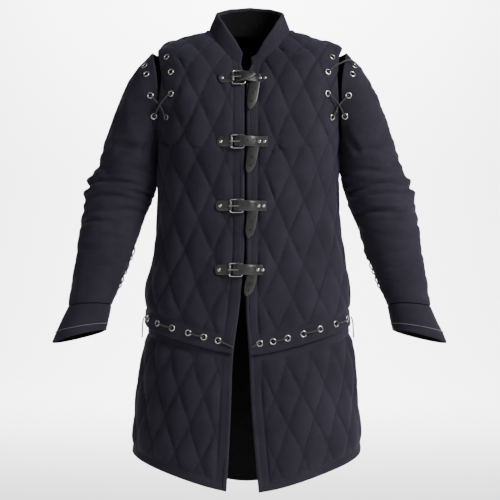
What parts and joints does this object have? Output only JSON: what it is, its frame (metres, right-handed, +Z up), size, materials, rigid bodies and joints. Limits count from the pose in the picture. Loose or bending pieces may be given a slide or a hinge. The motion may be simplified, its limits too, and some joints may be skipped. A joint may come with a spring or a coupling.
{
  "type": "gambeson",
  "caption": "Padded, diamond-quilted arming coat with stand collar, buckled front, laced sleeves, flared cuffs and laced skirt.",
  "frame": {"origin": "between the shoulders at the base of the neck, where the wearer's shoulders hold the coat", "axes": "+Z up, -Y out of the coat's front, +X the wearer's left"},
  "size_m": [0.805, 0.3016, 1.026],
  "materials": {
    "quilted_cotton": "matt black cotton canvas with a faint purple cast, padded and stitched in diamonds",
    "binding_cotton": "matt black cotton binding",
    "black_leather": "black, semi-gloss with worn edges",
    "nickel": "nickel plated, slightly dull",
    "lace_cord": "dark grey cord",
    "light_piping": "light grey cotton piping"
  },
  "bodies": {
    "root": {"back": "quilted_cotton", "closure_1_base": "black_leather", "closure_1_buckle": "nickel", "closure_1_prong": "nickel", "closure_1_rivet_1": "nickel", "closure_1_rivet_2": "nickel", "closure_1_rivet_3": "nickel", "closure_1_tongue": "black_leather", "closure_2_base": "black_leather", "closure_2_buckle": "nickel", "closure_2_prong": "nickel", "closure_2_rivet_1": "nickel", "closure_2_rivet_2": "nickel", "closure_2_rivet_3": "nickel", "closure_2_tongue": "black_leather", "closure_3_base": "black_leather", "closure_3_buckle": "nickel", "closure_3_prong": "nickel", "closure_3_rivet_1": "nickel", "closure_3_rivet_2": "nickel", "closure_3_rivet_3": "nickel", "closure_3_tongue": "black_leather", "closure_4_base": "black_leather", "closure_4_buckle": "nickel", "closure_4_prong": "nickel", "closure_4_rivet_1": "nickel", "closure_4_rivet_2": "nickel", "closure_4_rivet_3": "nickel", "closure_4_tongue": "black_leather", "collar": "quilted_cotton", "collar_binding": "binding_cotton", "cuff_left": "quilted_cotton", "cuff_piping_left": "light_piping", "cuff_piping_right": "light_piping", "cuff_right": "quilted_cotton", "forearm_lace_left": "lace_cord", "forearm_lace_right": "lace_cord", "front_binding_left": "binding_cotton", "front_binding_right": "binding_cotton", "front_left": "quilted_cotton", "front_right": "quilted_cotton", "shoulder_lace_left_back": "lace_cord", "shoulder_lace_left_front": "lace_cord", "shoulder_lace_right_back": "lace_cord", "shoulder_lace_right_front": "lace_cord", "shoulder_strand_left": "lace_cord", "skirt_back": "quilted_cotton", "skirt_binding_left": "binding_cotton", "skirt_binding_right": "binding_cotton", "skirt_front_left": "quilted_cotton", "skirt_front_right": "quilted_cotton", "sleeve_left": "quilted_cotton", "sleeve_right": "quilted_cotton", "waist_end_left": "lace_cord", "waist_end_right": "lace_cord", "waist_lace_back": "lace_cord", "waist_lace_left": "lace_cord", "waist_lace_right": "lace_cord"}
  },
  "joints": []
}
